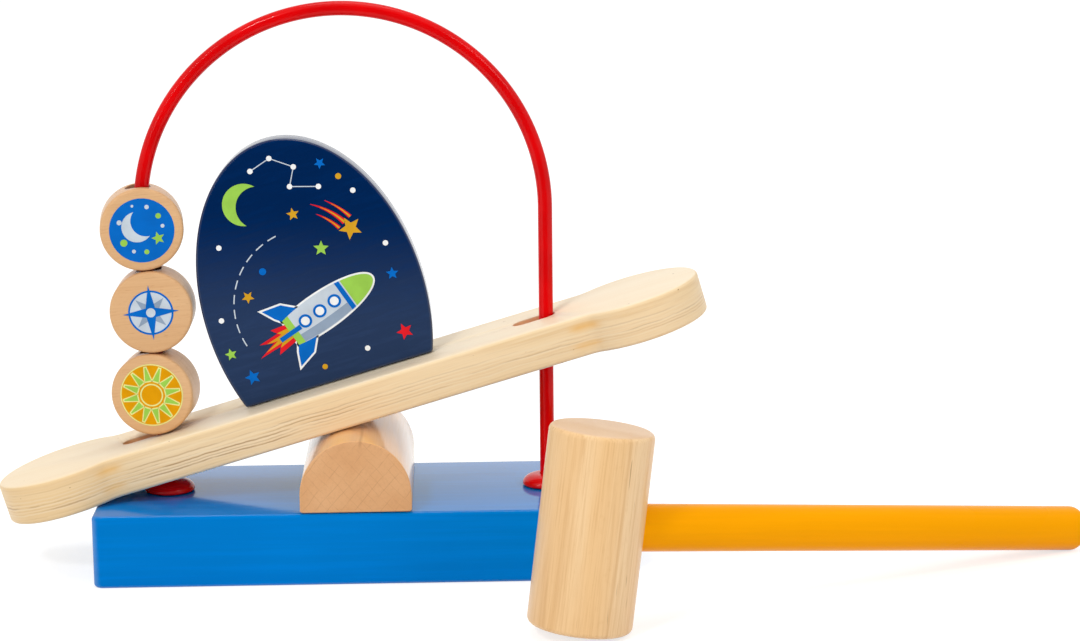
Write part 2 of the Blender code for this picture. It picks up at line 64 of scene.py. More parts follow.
# Shape details that the frame doesn't state
BASE_CORNER_R = 0.0035
BASE_EDGE_R = 0.0015
BLOCK_FOOT_R = 0.0010
BLOCK_EDGE_R = 0.0006
PLANK_WAIST_W = 0.0400
WAIST_FILLET_R = 0.0080
PLANK_EDGE_R = 0.0015
SLOT_W = 0.0080
SLOT_LIP = 0.0001
PANEL_CENTRE_H = 0.0300
PANEL_CORNER_R = 0.0013
PANEL_EDGE_R = 0.0013
DISC_EDGE_R = 0.0012
DISC_HOLE_D = 0.0092
HEAD_EDGE_R = 0.0022
HANDLE_EDGE_R = 0.0040
HANDLE_SEAT_DEPTH = 0.0260
SLEEVE_R = 0.0045
COUNTERBORE_R = 0.0070
COLLAR_RIM_R = 0.0007
COLLAR_LIP = 0.0009
BORE_GAP = 0.0003

# Point that the lamps are aimed at
LAMP_AIM = Vector((0.05, 0.0, 0.08))

# Floor: half its side, and its albedo for light that bounces and where the camera sees it
FLOOR_HALF = 12.0
FLOOR_BOUNCE = 0.86
FLOOR_SEEN = 0.52

# Prints: how deep an ink film starts in the lacquer, and the height of each layer over the last
INK_SINK = 0.00005
INK_STEP = 0.00003

# Each disc's turn about the wire
DISC_SPINS = {"disc_low": math.radians(-6), "disc_middle": 0.0, "disc_top": math.radians(6)}

# Rocket on the panel's print, in millimetres: its place and lean, and along its hull how far behind
# zero it is widest, the reach from there to its nose, and its portholes
ROCKET_PLACE = (3.0, 27.0)
ROCKET_LEAN = math.radians(18)
ROCKET_BELLY = 2.0
ROCKET_REACH = 23.0
PORTHOLES = (-8.4, -1.9, 4.6)

# Glue lines on the plank's edges: share of the depth from the top, half width and strength
GLUE_LINES = (
    (0.12, 0.024, 0.15), (0.25, 0.024, 0.20), (0.40, 0.028, 0.60), (0.49, 0.025, 0.80),
    (0.58, 0.028, 1.00), (0.66, 0.022, 0.55), (0.73, 0.028, 0.90), (0.87, 0.024, 0.20),
)

# Distances along the plank from its middle: to the ends of its waist, and to a place past its slots
WAIST_END = 0.0905
SLOT_REACH = 0.1000

# Blots where the plank's waist ends, in the measures of the glue lines
BLOTS = ((0.26, 0.16, 0.75), (0.72, 0.14, 0.55))

# Fine lines that cross on the block's ends: lean, spacing and strength
END_LINES = ((0.74, 0.0029, 0.36), (-0.70, 0.0037, 0.44))

# Angles, units, shares and counts
QUARTER = math.pi / 2
SHARP_ANGLE = math.radians(40)
MM = 0.001
TINY = 1e-6
DASH_SHARE = 0.62
DASH_STEPS = 6
DOT_STEPS = 40
SUN_RAYS = 12
SUN_TURN = 0.13
EDGE_STEPS = 6
CORNER_STEPS = 12
BORE_STEPS = 64
SOCKET_STEPS = 96
ROUND_STEPS = 128
WIRE_SIDES = 32
ARCH_STEPS = 160


def srgb(red, green, blue):
    """Linear colour from 8-bit display values."""
    shares = (value / 255 for value in (red, green, blue))
    return tuple(s / 12.92 if s <= 0.04045 else ((s + 0.055) / 1.055) ** 2.4 for s in shares)


# Frame

hinge = JOINTS["seesaw_hinge"]
TILT = math.radians(hinge["range_deg"][1]) / 2
SEESAW = Matrix.Translation(Vector(hinge["pos_m"])) @ Matrix.Rotation(-TILT, 4, "Y")
ARCH_CENTRE = Vector(JOINTS["disc_top_swing"]["pos_m"])
LEG_AXIS = Vector(JOINTS["disc_low_slide"]["axis"])
LEG_LEAN = math.atan2(-LEG_AXIS.x, LEG_AXIS.z)


def local_points(name, place=Matrix.Identity(4)):
    """A node's corners in a local frame."""
    inverse = place.inverted()
    return [inverse @ v.co for v in NODES[name].data.vertices]


def local_box(name, place):
    """A node's low and high corner in a local frame."""
    points = local_points(name, place)
    low = Vector([min(p[i] for p in points) for i in range(3)])
    high = Vector([max(p[i] for p in points) for i in range(3)])
    return low, high


def disc_place(name):
    """Frame of a disc: Y along its axis and Z along the wire."""
    low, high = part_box(name)
    centre = (low + high) / 2
    reach = ARCH_CENTRE - centre
    # On the straight leg a disc leans as the leg does, and on the arc as the arc does there
    lean = min(LEG_LEAN, math.atan2(reach.z, reach.x))
    turn = Matrix.Rotation(-lean, 4, "Y") @ Matrix.Rotation(DISC_SPINS[name], 4, "Z")
    return Matrix.Translation(centre) @ turn


def hammer_place():
    """Frame of the hammer: X along the handle and Z along the head."""
    low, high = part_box("hammer_head")
    centre = (low + high) / 2
    points = local_points("hammer_handle")
    reach = max((p - centre).length for p in points)
    tip = [p for p in points if (p - centre).length > reach - HANDLE_EDGE_R]
    along = (sum(tip, Vector()) / len(tip) - centre).normalized()
    heading = Matrix.Rotation(math.atan2(along.y, along.x), 4, "Z")
    dip = Matrix.Rotation(math.asin(-along.z), 4, "Y")
    return Matrix.Translation(centre) @ (heading @ dip)


HAMMER = hammer_place()


# Meshes

def finish_mesh(bm, name):
    """Mesh with its faces outwards and its sharp edges marked."""
    bmesh.ops.recalc_face_normals(bm, faces=bm.faces)
    mesh = bpy.data.meshes.new(name)
    bm.to_mesh(mesh)
    bm.free()
    mesh.set_sharp_from_angle(angle=SHARP_ANGLE)
    return mesh


def loft(name, rings, looped=False):
    """Solid through rings of points, with flat ends or closed on itself."""
    bm = bmesh.new()
    rows = [[bm.verts.new(p) for p in ring] for ring in rings]
    pairs = list(zip(rows, rows[1:]))
    if looped:
        pairs.append((rows[-1], rows[0]))
    for lower, upper in pairs:
        for i in range(len(lower)):
            j = (i + 1) % len(lower)
            bm.faces.new((lower[i], lower[j], upper[j], upper[i])).smooth = True
    if not looped:
        bm.faces.new(rows[0])
        bm.faces.new(rows[-1])
    return finish_mesh(bm, name)


def lathe(name, profile, steps=ROUND_STEPS, looped=False):
    """Turn (radius, height) points about Z."""
    rings = []
    for radius, height in profile:
        angles = [math.tau * i / steps for i in range(steps)]
        rings.append([(radius * math.cos(a), radius * math.sin(a), height) for a in angles])
    return loft(name, rings, looped)


def arc(centre, radius, start, end, steps):
    """Points on a circle from one angle to another, both ends included."""
    angles = [start + (end - start) * i / steps for i in range(steps + 1)]
    return [(centre[0] + radius * math.cos(a), centre[1] + radius * math.sin(a)) for a in angles]


def offset(outline, distance):
    """Outline moved outwards by a distance, or inwards by a negative one."""
    count = len(outline)
    moved = []
    for i, (x, y) in enumerate(outline):
        before, after = outline[i - 1], outline[(i + 1) % count]
        first = Vector((x - before[0], y - before[1])).normalized()
        second = Vector((after[0] - x, after[1] - y)).normalized()
        normal = Vector((first.y + second.y, -first.x - second.x))
        normal /= 1 + first.dot(second)
        moved.append((x + distance * normal.x, y + distance * normal.y))
    return moved


def slab(name, outline, low, high, radius, upright=False):
    """Outline given a thickness, with its edges rounded. Upright slabs have their thickness along Y."""
    levels = []
    for i in range(EDGE_STEPS + 1):
        angle = QUARTER * i / EDGE_STEPS
        levels.append((low + radius - radius * math.cos(angle), radius * (math.sin(angle) - 1)))
    levels += [(high + low - height, inset) for height, inset in reversed(levels)]
    rings = []
    for height, inset in levels:
        flat = offset(outline, inset)
        rings.append([(u, height, v) if upright else (u, v, height) for u, v in flat])
    return loft(name, rings)


def rounded_box(length, width, radius):
    """Rectangle about zero with rounded corners."""
    outline = []
    for turns, (sx, sy) in enumerate(((1, 1), (-1, 1), (-1, -1), (1, -1))):
        centre = (sx * (length / 2 - radius), sy * (width / 2 - radius))
        start = QUARTER * turns
        outline += arc(centre, radius, start, start + QUARTER, CORNER_STEPS)
    return outline


def place_piece(name, mesh, body, material, place=Matrix.Identity(4), nodes=()):
    """Add a mesh as a piece of the object, on its body, in place of its CAD nodes."""
    mesh.transform(place)
    mesh.materials.append(material)
    piece = bpy.data.objects.new(name, mesh)
    bpy.context.scene.collection.objects.link(piece)
    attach(piece, body)
    if nodes:
        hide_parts(*nodes)
    return piece


def carve(piece, cutter_mesh, place):
    """Take a cutter's shape out of a piece."""
    cutter = bpy.data.objects.new("cutter", cutter_mesh)
    bpy.context.scene.collection.objects.link(cutter)
    cutter.matrix_world = place
    boolean = piece.modifiers.new("carve", "BOOLEAN")
    boolean.operation = "DIFFERENCE"
    boolean.solver = "EXACT"
    boolean.object = cutter
    graph = bpy.context.evaluated_depsgraph_get()
    mesh = bpy.data.meshes.new_from_object(piece.evaluated_get(graph))
    piece.modifiers.clear()
    piece.data = mesh
    bpy.data.objects.remove(cutter, do_unlink=True)


# Materials

def dimmed(colour, share):
    return tuple(value * share for value in colour)


class Shader:
    """A Principled material built from nodes, in metres and in the axes of a piece's frame."""

    def __init__(self, name, place=Matrix.Identity(4), **sockets):
        self.material = bpy.data.materials.new(name)
        self.material.use_nodes = True
        self.tree = self.material.node_tree
        self.surface = self.tree.nodes["Principled BSDF"]
        for socket, value in sockets.items():
            self.surface.inputs[socket.replace("_", " ")].default_value = value
        inverse = place.inverted()
        self.place = self.add("ShaderNodeMapping", {
            "Vector": self.add("ShaderNodeTexCoord").outputs["Object"],
            "Location": inverse.translation,
            "Rotation": inverse.to_euler(),
        }).outputs[0]
        self.heights = []

    def add(self, kind, inputs=(), **settings):
        node = self.tree.nodes.new(kind)
        for key, value in settings.items():
            setattr(node, key, value)
        for key, value in dict(inputs).items():
            self.feed(node.inputs[key], value)
        return node

    def feed(self, socket, value):
        if isinstance(value, bpy.types.NodeSocket):
            self.tree.links.new(value, socket)
        elif socket.type == "RGBA":
            socket.default_value = (*value, 1.0)
        else:
            socket.default_value = value

    def math(self, operation, first, second=0.0, clamp=False):
        node = self.add("ShaderNodeMath", {0: first, 1: second}, operation=operation, use_clamp=clamp)
        return node.outputs[0]

    def gap(self, value, place):
        """Distance of a value from a place."""
        return self.math("ABSOLUTE", self.math("SUBTRACT", value, place))

    def sway(self, noise, depth):
        """Noise about zero, from half the depth below to half above."""
        return self.math("MULTIPLY", self.math("SUBTRACT", noise, 0.5), depth)

    def parts(self, vector):
        """The X, Y and Z of a vector."""
        return self.add("ShaderNodeSeparateXYZ", {0: vector}).outputs

    def turned(self, rotation=(0.0, 0.0, 0.0), stretch=(1.0, 1.0, 1.0), vector=None):
        """The piece's axes turned, then scaled along each."""
        vector = vector or self.place
        if any(rotation):
            vector = self.add("ShaderNodeMapping", {"Vector": vector, "Rotation": rotation}).outputs[0]
        return self.add("ShaderNodeMapping", {"Vector": vector, "Scale": stretch}).outputs[0]

    def noise(self, vector, scale=1.0, detail=2.0, roughness=0.5, distortion=0.0):
        inputs = {
            "Vector": vector, "Scale": scale, "Detail": detail,
            "Roughness": roughness, "Distortion": distortion,
        }
        return self.add("ShaderNodeTexNoise", inputs).outputs[0]

    def figure(self, stretch, vector=None, **settings):
        """Noise stretched along the piece's axes, or along those of a vector."""
        return self.noise(self.turned(stretch=stretch, vector=vector), **settings)

    def step(self, value, low, high, out_low=0.0, out_high=1.0):
        """Smooth change between two outputs as the value crosses a band."""
        inputs = {"Value": value, "From Min": low, "From Max": high, "To Min": out_low, "To Max": out_high}
        return self.add("ShaderNodeMapRange", inputs, interpolation_type="SMOOTHSTEP").outputs[0]

    def mix(self, share, first, second, blend="MIX"):
        node = self.add("ShaderNodeMix", {0: share, 6: first, 7: second}, data_type="RGBA", blend_type=blend)
        return node.outputs[2]

    def stain(self, colour, other, share, strength):
        """Blend another colour in by a share of a strength."""
        return self.mix(self.math("MULTIPLY", share, strength), colour, other)

    def ramp(self, value, stops):
        node = self.add("ShaderNodeValToRGB", {0: value})
        elements = node.color_ramp.elements
        while len(elements) < len(stops):
            elements.new(0.5)
        for element, (position, colour) in zip(elements, stops):
            element.position = position
            element.color = (*colour, 1.0)
        return node.outputs[0]

    def bands(self, value, lines):
        """Soft lines at places of a value: (middle, half width, strength) for each."""
        black = (0.0, 0.0, 0.0)
        stops = [(0.0, black)]
        for middle, width, strength in lines:
            stops += [(middle - width, black), (middle, (strength,) * 3), (middle + width, black)]
        return self.ramp(value, stops)

    def relief(self, value, depth):
        """Add a height in metres to the surface's bump."""
        self.heights.append(self.math("MULTIPLY", value, depth))

    def glaze(self, roughness, weight, start, full):
        """Clear coat that comes in as the surface turns away from the viewer (0 faces it, 1 is edge-on)."""
        facing = self.add("ShaderNodeLayerWeight", {"Blend": 0.5}).outputs["Facing"]
        self.surface.inputs["Coat Roughness"].default_value = roughness
        self.feed(self.surface.inputs["Coat Weight"], self.step(facing, start, full, 0.0, weight))

    def done(self, colour, roughness):
        """Connect the colour, roughness and bump and return the material."""
        self.feed(self.surface.inputs["Base Color"], colour)
        self.feed(self.surface.inputs["Roughness"], roughness)
        total = self.heights[0]
        for height in self.heights[1:]:
            total = self.math("ADD", total, height)
        bump = self.add("ShaderNodeBump", {"Height": total, "Distance": 1.0, "Strength": 1.0})
        self.feed(self.surface.inputs["Normal"], bump.outputs[0])
        self.feed(self.surface.inputs["Coat Normal"], bump.outputs[0])
        return self.material


def timber(name, place, tones, grain, rings, rays, pores, fibres, gloss, specular, glaze,
           cut=None, bore=None):
    """Clear-coated wood. The grain matrix takes the grain to X, the ring crossing to Y and the rays to Z.

    Where cut is given, the surface beyond that distance along the grain is a smooth sawn end. Where bore
    is given, the surface within that distance of the piece's Z axis is the wall of a drilled hole.
    """
    dark, middle, light = tones
    shader = Shader(name, place, Specular_IOR_Level=specular)
    axes = shader.turned(grain.to_euler())
    ring_noise = shader.figure((6.0, 330.0, 34.0), axes, detail=4.0, roughness=0.6)
    broad = shader.figure((7.0, 95.0, 60.0), axes)
    fibre = shader.figure((45.0, 1700.0, 1700.0), axes, detail=3.0, roughness=0.65)
    ray_noise = shader.figure((330.0, 110.0, 2600.0), axes, detail=1.0)
    pore = shader.step(shader.figure((60.0, 1100.0, 900.0), axes, detail=1.0), 0.73, 0.79)
    colour = shader.mix(shader.step(broad, 0.30, 0.70), middle, light)
    colour = shader.stain(colour, dark, shader.step(ring_noise, 0.50, 0.72), rings)
    colour = shader.stain(colour, dark, shader.step(fibre, 0.40, 0.75), fibres)
    colour = shader.stain(colour, dark, shader.step(ray_noise, 0.62, 0.74), rays)
    colour = shader.stain(colour, dimmed(dark, 0.55), pore, pores)
    if cut:
        along = shader.math("ABSOLUTE", shader.parts(axes)[0])
        end = shader.stain(SAWN_END, dark, shader.step(broad, 0.2, 0.8), 0.3)
        colour = shader.mix(shader.step(along, cut - 0.0007, cut - 0.0001), colour, end)
    if bore:
        flat = shader.turned(stretch=(1.0, 1.0, 0.0))
        distance = shader.add("ShaderNodeVectorMath", {0: flat}, operation="LENGTH").outputs["Value"]
        wall = shader.step(distance, bore + 0.0001, bore + 0.0005, 1.0, 0.0)
        colour = shader.mix(wall, colour, dimmed(dark, 0.5))
    shader.relief(fibre, 0.00002)
    shader.relief(pore, -0.00003)
    shader.relief(shader.noise(shader.place, scale=90.0), 0.00004)
    shader.glaze(0.22, *glaze)
    return shader.done(colour, shader.step(fibre, 0.2, 0.8, gloss - 0.07, gloss + 0.09))


def end_grain(name, tones, radius, centre_z):
    """Half-round block of beech with its grain along Y: rings and rays cross on its ends."""
    dark, middle, light = tones
    shader = Shader(name, Specular_IOR_Level=0.25)
    cloud = shader.figure((60.0, 12.0, 60.0), detail=3.0)
    fibre = shader.figure((1500.0, 40.0, 1500.0), detail=3.0, roughness=0.6)
    waver = shader.figure((70.0, 4.0, 70.0), detail=3.0)
    colour = shader.mix(shader.step(cloud, 0.32, 0.68), middle, light)
    for lean, spacing, strength in END_LINES:
        axes = shader.turned((0.0, lean, 0.0))
        bent = shader.math("ADD", shader.parts(axes)[0], shader.math("MULTIPLY", waver, 0.0030))
        share = shader.math("FRACT", shader.math("DIVIDE", bent, spacing))
        line = shader.step(shader.gap(share, 0.5), 0.0, 0.055, 1.0, 0.0)
        broken = shader.step(shader.figure((420.0, 9.0, 150.0), axes), 0.40, 0.62, 0.08, strength)
        colour = shader.stain(colour, dark, line, broken)
    colour = shader.stain(colour, dark, shader.step(fibre, 0.45, 0.75), 0.16)
    across, _, height = shader.parts(shader.place)
    rise = shader.math("MAXIMUM", shader.math("SUBTRACT", height, centre_z), 0.0)
    squares = shader.math("ADD", shader.math("POWER", across, 2.0), shader.math("POWER", rise, 2.0))
    # Painted bounce light: the curved top, and a thin band of the ends next to it, is painted a mottled warm
    # orange that stands for light thrown down from the plank's underside
    skin = shader.step(shader.math("SQRT", squares), radius - 0.0004, radius)
    bounce_mottle = shader.mix(shader.step(cloud, 0.38, 0.62), PAINTED_BOUNCE_ORANGE, light)
    colour = shader.mix(skin, colour, bounce_mottle)
    knot = shader.gap(across, shader.math("MULTIPLY", cloud, 0.0040))
    knot = shader.step(knot, 0.0, 0.0011, 1.0, 0.0)
    knot = shader.math("MULTIPLY", knot, shader.step(rise, radius - 0.0040, radius))
    colour = shader.stain(colour, dark, knot, shader.step(waver, 0.35, 0.60, 0.15, 0.6))
    shader.relief(fibre, 0.00001)
    shader.relief(cloud, 0.00005)
    shader.glaze(0.13, 0.9, 0.05, 0.50)
    return shader.done(colour, shader.step(fibre, 0.2, 0.8, 0.30, 0.44))


def plywood(name, place, low, high):
    """Sanded plywood: cream face veneers, and yellower edges with broken glue lines between plies."""
    shader = Shader(name, place, Specular_IOR_Level=0.3)
    cream, rose = srgb(250, 233, 203), srgb(247, 227, 194)
    straw, honey = srgb(248, 222, 180), srgb(236, 203, 153)
    amber, brown, pith = srgb(238, 184, 100), srgb(160, 116, 74), srgb(238, 180, 128)
    along, across, height = shader.parts(shader.place)
    level = shader.add("ShaderNodeMapRange", {"Value": height, "From Min": high, "From Max": low}).outputs[0]
    waver = shader.figure((42.0, 42.0, 60.0), detail=4.0, roughness=0.6)
    depth = shader.math("ADD", level, shader.sway(waver, 0.16))
    patchy = shader.figure((30.0, 30.0, 520.0), detail=4.0, roughness=0.65)
    line = shader.math("MULTIPLY", shader.bands(depth, GLUE_LINES), shader.step(patchy, 0.42, 0.60))
    line = shader.math("MULTIPLY", line, shader.step(along, -0.03, 0.03, 1.0, 0.45))
    # Painted highlight: a pale band just below each glue line, as light catching the edge of the line would
    # give
    glow = shader.bands(shader.math("SUBTRACT", depth, 0.030), GLUE_LINES)
    streak = shader.figure((14.0, 14.0, 420.0), detail=4.0, roughness=0.65, distortion=0.4)
    broad = shader.figure((8.0, 70.0, 70.0), detail=3.0)
    fibre = shader.figure((60.0, 1500.0, 1500.0), detail=3.0, roughness=0.6)
    pore = shader.step(shader.figure((420.0, 900.0, 900.0), detail=0.0), 0.865, 0.885)

    face = shader.mix(shader.step(broad, 0.30, 0.75), cream, rose)
    face = shader.mix(shader.step(along, -0.125, -0.055, 0.45, 0.0), face, straw)
    share = shader.math("MULTIPLY", shader.step(streak, 0.38, 0.68), 0.75)
    share = shader.math("ADD", share, shader.step(along, -0.115, -0.065, 0.7, 0.1), clamp=True)
    edge = shader.mix(share, straw, honey)
    # Painted highlight beside the glue lines
    edge = shader.stain(edge, cream, glow, 0.45)
    edge = shader.stain(edge, brown, line, 0.85)
    off_middle = shader.math("ABSOLUTE", along)
    blot = shader.math("ADD", shader.gap(off_middle, WAIST_END), shader.sway(waver, 0.012))
    blot = shader.step(blot, 0.001, 0.008, 1.0, 0.0)
    edge = shader.stain(edge, amber, blot, shader.bands(level, BLOTS))

    inside = shader.step(shader.gap(level, 0.5), 0.455, 0.490, 1.0, 0.0)
    half_w = SLOT_W / 2
    slot = shader.step(shader.math("ABSOLUTE", across), half_w + 0.0004, half_w + 0.0010, 1.0, 0.0)
    slot = shader.math("MULTIPLY", inside, slot)
    slot = shader.math("MULTIPLY", slot, shader.step(off_middle, SLOT_REACH, SLOT_REACH + 0.002, 1.0, 0.0))
    colour = shader.mix(inside, face, edge)
    colour = shader.stain(colour, honey, shader.step(fibre, 0.45, 0.75), 0.10)
    colour = shader.stain(colour, brown, pore, 0.8)
    colour = shader.stain(colour, pith, slot, 0.85)
    shader.relief(fibre, 0.00002)
    shader.relief(line, -0.00006)
    shader.relief(shader.noise(shader.place, scale=80.0), 0.00005)
    shader.glaze(0.30, 0.25, 0.40, 0.85)
    return shader.done(colour, shader.step(fibre, 0.2, 0.8, 0.42, 0.56))


def lacquer(name, colour, gloss, glaze, place=Matrix.Identity(4), grain=(10.0, 300.0, 300.0),
            specular=0.012, grain_depth=0.00002, contrast=0.05, painted_reflection=None):
    """Opaque lacquer on wood, with the grain showing through a little.

    The last argument gives a paler colour painted on the lower part, a painted reflection of the plank and
    floor, and the heights above the floor, at rest, between which it gives way to the main colour.
    """
    shader = Shader(name, place, Specular_IOR_Level=specular)
    cloud = shader.figure((14.0, 14.0, 14.0), detail=3.0)
    figure = shader.figure(grain, detail=4.0, roughness=0.6)
    mixed = colour
    # Painted reflection: below the given heights the lacquer is painted paler, standing for the plank and
    # floor reflected in it
    if painted_reflection:
        reflection_colour, low, high = painted_reflection
        upright = shader.add("ShaderNodeTexCoord").outputs["Object"]
        height = shader.math("ADD", shader.parts(upright)[2], shader.sway(figure, 0.02))
        mixed = shader.mix(shader.step(height, low, high), reflection_colour, colour)
    dark, plain, light = ((1.0 + change,) * 3 for change in (-contrast, 0.0, contrast))
    mixed = shader.mix(1.0, mixed, shader.mix(shader.step(cloud, 0.3, 0.7), dark, plain), "MULTIPLY")
    mixed = shader.mix(1.0, mixed, shader.mix(shader.step(figure, 0.42, 0.66), dark, light), "MULTIPLY")
    shader.relief(figure, grain_depth)
    shader.relief(shader.noise(shader.place, scale=520.0, detail=1.0), 0.000004)
    shader.glaze(gloss * 0.5, *glaze)
    return shader.done(mixed, shader.step(cloud, 0.25, 0.75, gloss * 0.85, gloss * 1.2))


def coating(name, colour, gloss, specular):
    """Smooth dipped or moulded plastic skin."""
    shader = Shader(name, Specular_IOR_Level=specular)
    cloud = shader.noise(shader.place, scale=60.0)
    scuff = shader.noise(shader.place, scale=1400.0)
    mixed = shader.mix(shader.step(cloud, 0.3, 0.7), dimmed(colour, 0.86), colour)
    shader.relief(cloud, 0.000008)
    shader.glaze(0.06, 0.25, 0.03, 0.10)
    return shader.done(mixed, shader.step(scuff, 0.4, 0.8, gloss, gloss + 0.12))


def plated_steel(name):
    shader = Shader(name, Metallic=1.0)
    brushed = shader.figure((300.0, 300.0, 2400.0), detail=3.0)
    tarnish = shader.noise(shader.place, scale=240.0, detail=3.0)
    colour = shader.mix(shader.step(tarnish, 0.35, 0.7), srgb(205, 207, 204), srgb(176, 176, 168))
    shader.relief(brushed, 0.000004)
    return shader.done(colour, shader.step(brushed, 0.3, 0.7, 0.24, 0.42))


def ink(name, colour):
    """Screen-printed ink."""
    shader = Shader(name, Specular_IOR_Level=0.06)
    grain = shader.noise(shader.place, scale=1600.0)
    patch = shader.noise(shader.place, scale=160.0)
    mixed = shader.mix(shader.step(patch, 0.3, 0.75), colour, dimmed(colour, 0.88))
    shader.relief(grain, 0.000003)
    return shader.done(mixed, shader.step(grain, 0.3, 0.7, 0.30, 0.42))


BEECH_TONES = srgb(188, 130, 80), srgb(220, 172, 122), srgb(228, 184, 136)
BLOCK_TONES = srgb(176, 124, 78), srgb(218, 163, 112), srgb(226, 174, 124)
HEAD_TONES = srgb(204, 148, 82), srgb(240, 197, 141), srgb(246, 210, 161)
SAWN_END = srgb(232, 196, 158)
# Painted bounce light: warm orange for the block's curved top, where the plank's underside throws light down
PAINTED_BOUNCE_ORANGE = srgb(244, 184, 104)
UPRIGHT_GRAIN = Matrix(((0, 0, 1), (1, 0, 0), (0, 1, 0)))

plank_low, plank_high = local_box("seesaw_plank", SEESAW)
block_low, block_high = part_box("fulcrum_block")
BLOCK_R = (block_high.x - block_low.x) / 2
BLOCK_CENTRE_Z = block_high.z - BLOCK_R

BLUE = lacquer("blue_lacquer", srgb(0, 127, 211), gloss=0.17, glaze=(0.88, 0.08, 0.35))
# The navy's lower part is painted paler: a painted reflection of the plank and floor
NAVY = lacquer(
    "navy_lacquer", srgb(0, 37, 86), gloss=0.24, glaze=(0.9, 0.05, 0.22), place=SEESAW,
    grain=(70.0, 260.0, 620.0), grain_depth=0.00012, contrast=0.06, painted_reflection=(srgb(43, 62, 97), 0.086, 0.134),
)
AMBER = lacquer(
    "amber_lacquer", srgb(255, 167, 0), gloss=0.28, glaze=(0.15, 0.40, 0.85), place=HAMMER,
    grain=(10.0, 420.0, 420.0), specular=0.03, contrast=0.02,
)
RED_WIRE = coating("red_coating", srgb(228, 2, 6), gloss=0.16, specular=0.03)
RED_PLASTIC = coating("red_plastic", srgb(232, 4, 10), gloss=0.12, specular=0.14)
PLYWOOD = plywood("plywood", SEESAW, plank_low.z, plank_high.z)
BLOCK_BEECH = end_grain("block_beech", BLOCK_TONES, BLOCK_R, BLOCK_CENTRE_Z)
HEAD_WOOD = timber(
    "head_wood", HAMMER, HEAD_TONES, UPRIGHT_GRAIN, rings=0.42, rays=0.08, pores=0.55, fibres=0.34,
    gloss=0.42, specular=0.3, glaze=(0.35, 0.03, 0.30), cut=local_box("hammer_head", HAMMER)[1].z,
)
STEEL = plated_steel("zinc_steel")
INK_COLOURS = {
    "white": srgb(250, 251, 250),
    "pale": srgb(206, 217, 227),
    "mist": srgb(150, 168, 190),
    "cream": srgb(238, 238, 150),
    "gold": srgb(222, 166, 36),
    "orange": srgb(230, 160, 0),
    "lime": srgb(160, 212, 84),
    "blue": srgb(0, 108, 202),
    "red": srgb(232, 30, 42),
}
INKS = {name: ink("ink_" + name, colour) for name, colour in INK_COLOURS.items()}


# Base, block, wire and collars

def sink_screw(piece, low, high, screw_low, screw_high, place):
    """Countersunk hole for a screw, from a piece's underside to half its thickness."""
    radius = (screw_high.x - screw_low.x) / 2 + BORE_GAP
    thread_r = radius / 2
    profile = [(radius, low.z - radius), (radius, screw_low.z), (thread_r, low.z + radius)]
    profile.append((thread_r, (low.z + high.z) / 2))
    carve(piece, lathe("sink", profile, BORE_STEPS), place)


def add_base():
    low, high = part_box("base_block")
    outline = rounded_box(high.x - low.x, high.y - low.y, BASE_CORNER_R)
    mesh = slab("base", outline, low.z, high.z, BASE_EDGE_R)
    base = place_piece("base", mesh, "base", BLUE, nodes=["base_block"])
    for word in ("left", "right"):
        washer_low, washer_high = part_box("leg_washer_" + word)
        middle = (washer_low + washer_high) / 2
        profile = [(COUNTERBORE_R, -COUNTERBORE_R), (COUNTERBORE_R, washer_high.z + BORE_GAP)]
        carve(base, lathe("sink", profile, BORE_STEPS), Matrix.Translation((middle.x, middle.y, 0.0)))
    for word in ("front", "back"):
        screw_low, screw_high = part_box("fulcrum_screw_" + word)
        middle = (screw_low + screw_high) / 2
        place = Matrix.Translation((middle.x, middle.y, 0.0))
        sink_screw(base, low, high, screw_low, screw_high, place)


def add_block():
    """Half-round block with its grain along the bench's depth."""
    foot_x = BLOCK_R - BLOCK_FOOT_R
    foot_z = block_low.z + BLOCK_FOOT_R
    outline = arc((foot_x, foot_z), BLOCK_FOOT_R, -QUARTER, 0.0, EDGE_STEPS)
    outline += arc((0.0, BLOCK_CENTRE_Z), BLOCK_R, 0.0, math.pi, ROUND_STEPS)
    outline += arc((-foot_x, foot_z), BLOCK_FOOT_R, math.pi, QUARTER * 3, EDGE_STEPS)
    mesh = slab("block", outline, block_low.y, block_high.y, BLOCK_EDGE_R, upright=True)
    place_piece("block", mesh, "base", BLOCK_BEECH, nodes=["fulcrum_block"])


def add_wire():
    """Wire bent to an arch: an upright leg, an arc and a leg that leans outwards."""
    low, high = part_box("wire_arch")
    radius = (high.y - low.y) / 2
    bend = high.z - radius - ARCH_CENTRE.z
    collar_low, collar_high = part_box("collar_left")
    foot_x = (collar_low.x + collar_high.x) / 2
    path = [(foot_x, low.z), (foot_x, collar_high.z)]
    path += arc((ARCH_CENTRE.x, ARCH_CENTRE.z), bend, math.pi + LEG_LEAN, 0.0, ARCH_STEPS)
    path.append((ARCH_CENTRE.x + bend, low.z))
    depth = Vector((0.0, 1.0, 0.0))
    angles = [math.tau * i / WIRE_SIDES for i in range(WIRE_SIDES)]
    rings = []
    for i, (x, z) in enumerate(path):
        before, after = path[max(i - 1, 0)], path[min(i + 1, len(path) - 1)]
        along = Vector((after[0] - before[0], 0.0, after[1] - before[1])).normalized()
        side = Vector((along.z, 0.0, -along.x))
        centre = Vector((x, 0.0, z))
        rings.append([centre + radius * (math.cos(a) * side + math.sin(a) * depth) for a in angles])
    place_piece("wire", loft("wire", rings), "base", RED_WIRE, nodes=["wire_arch"])


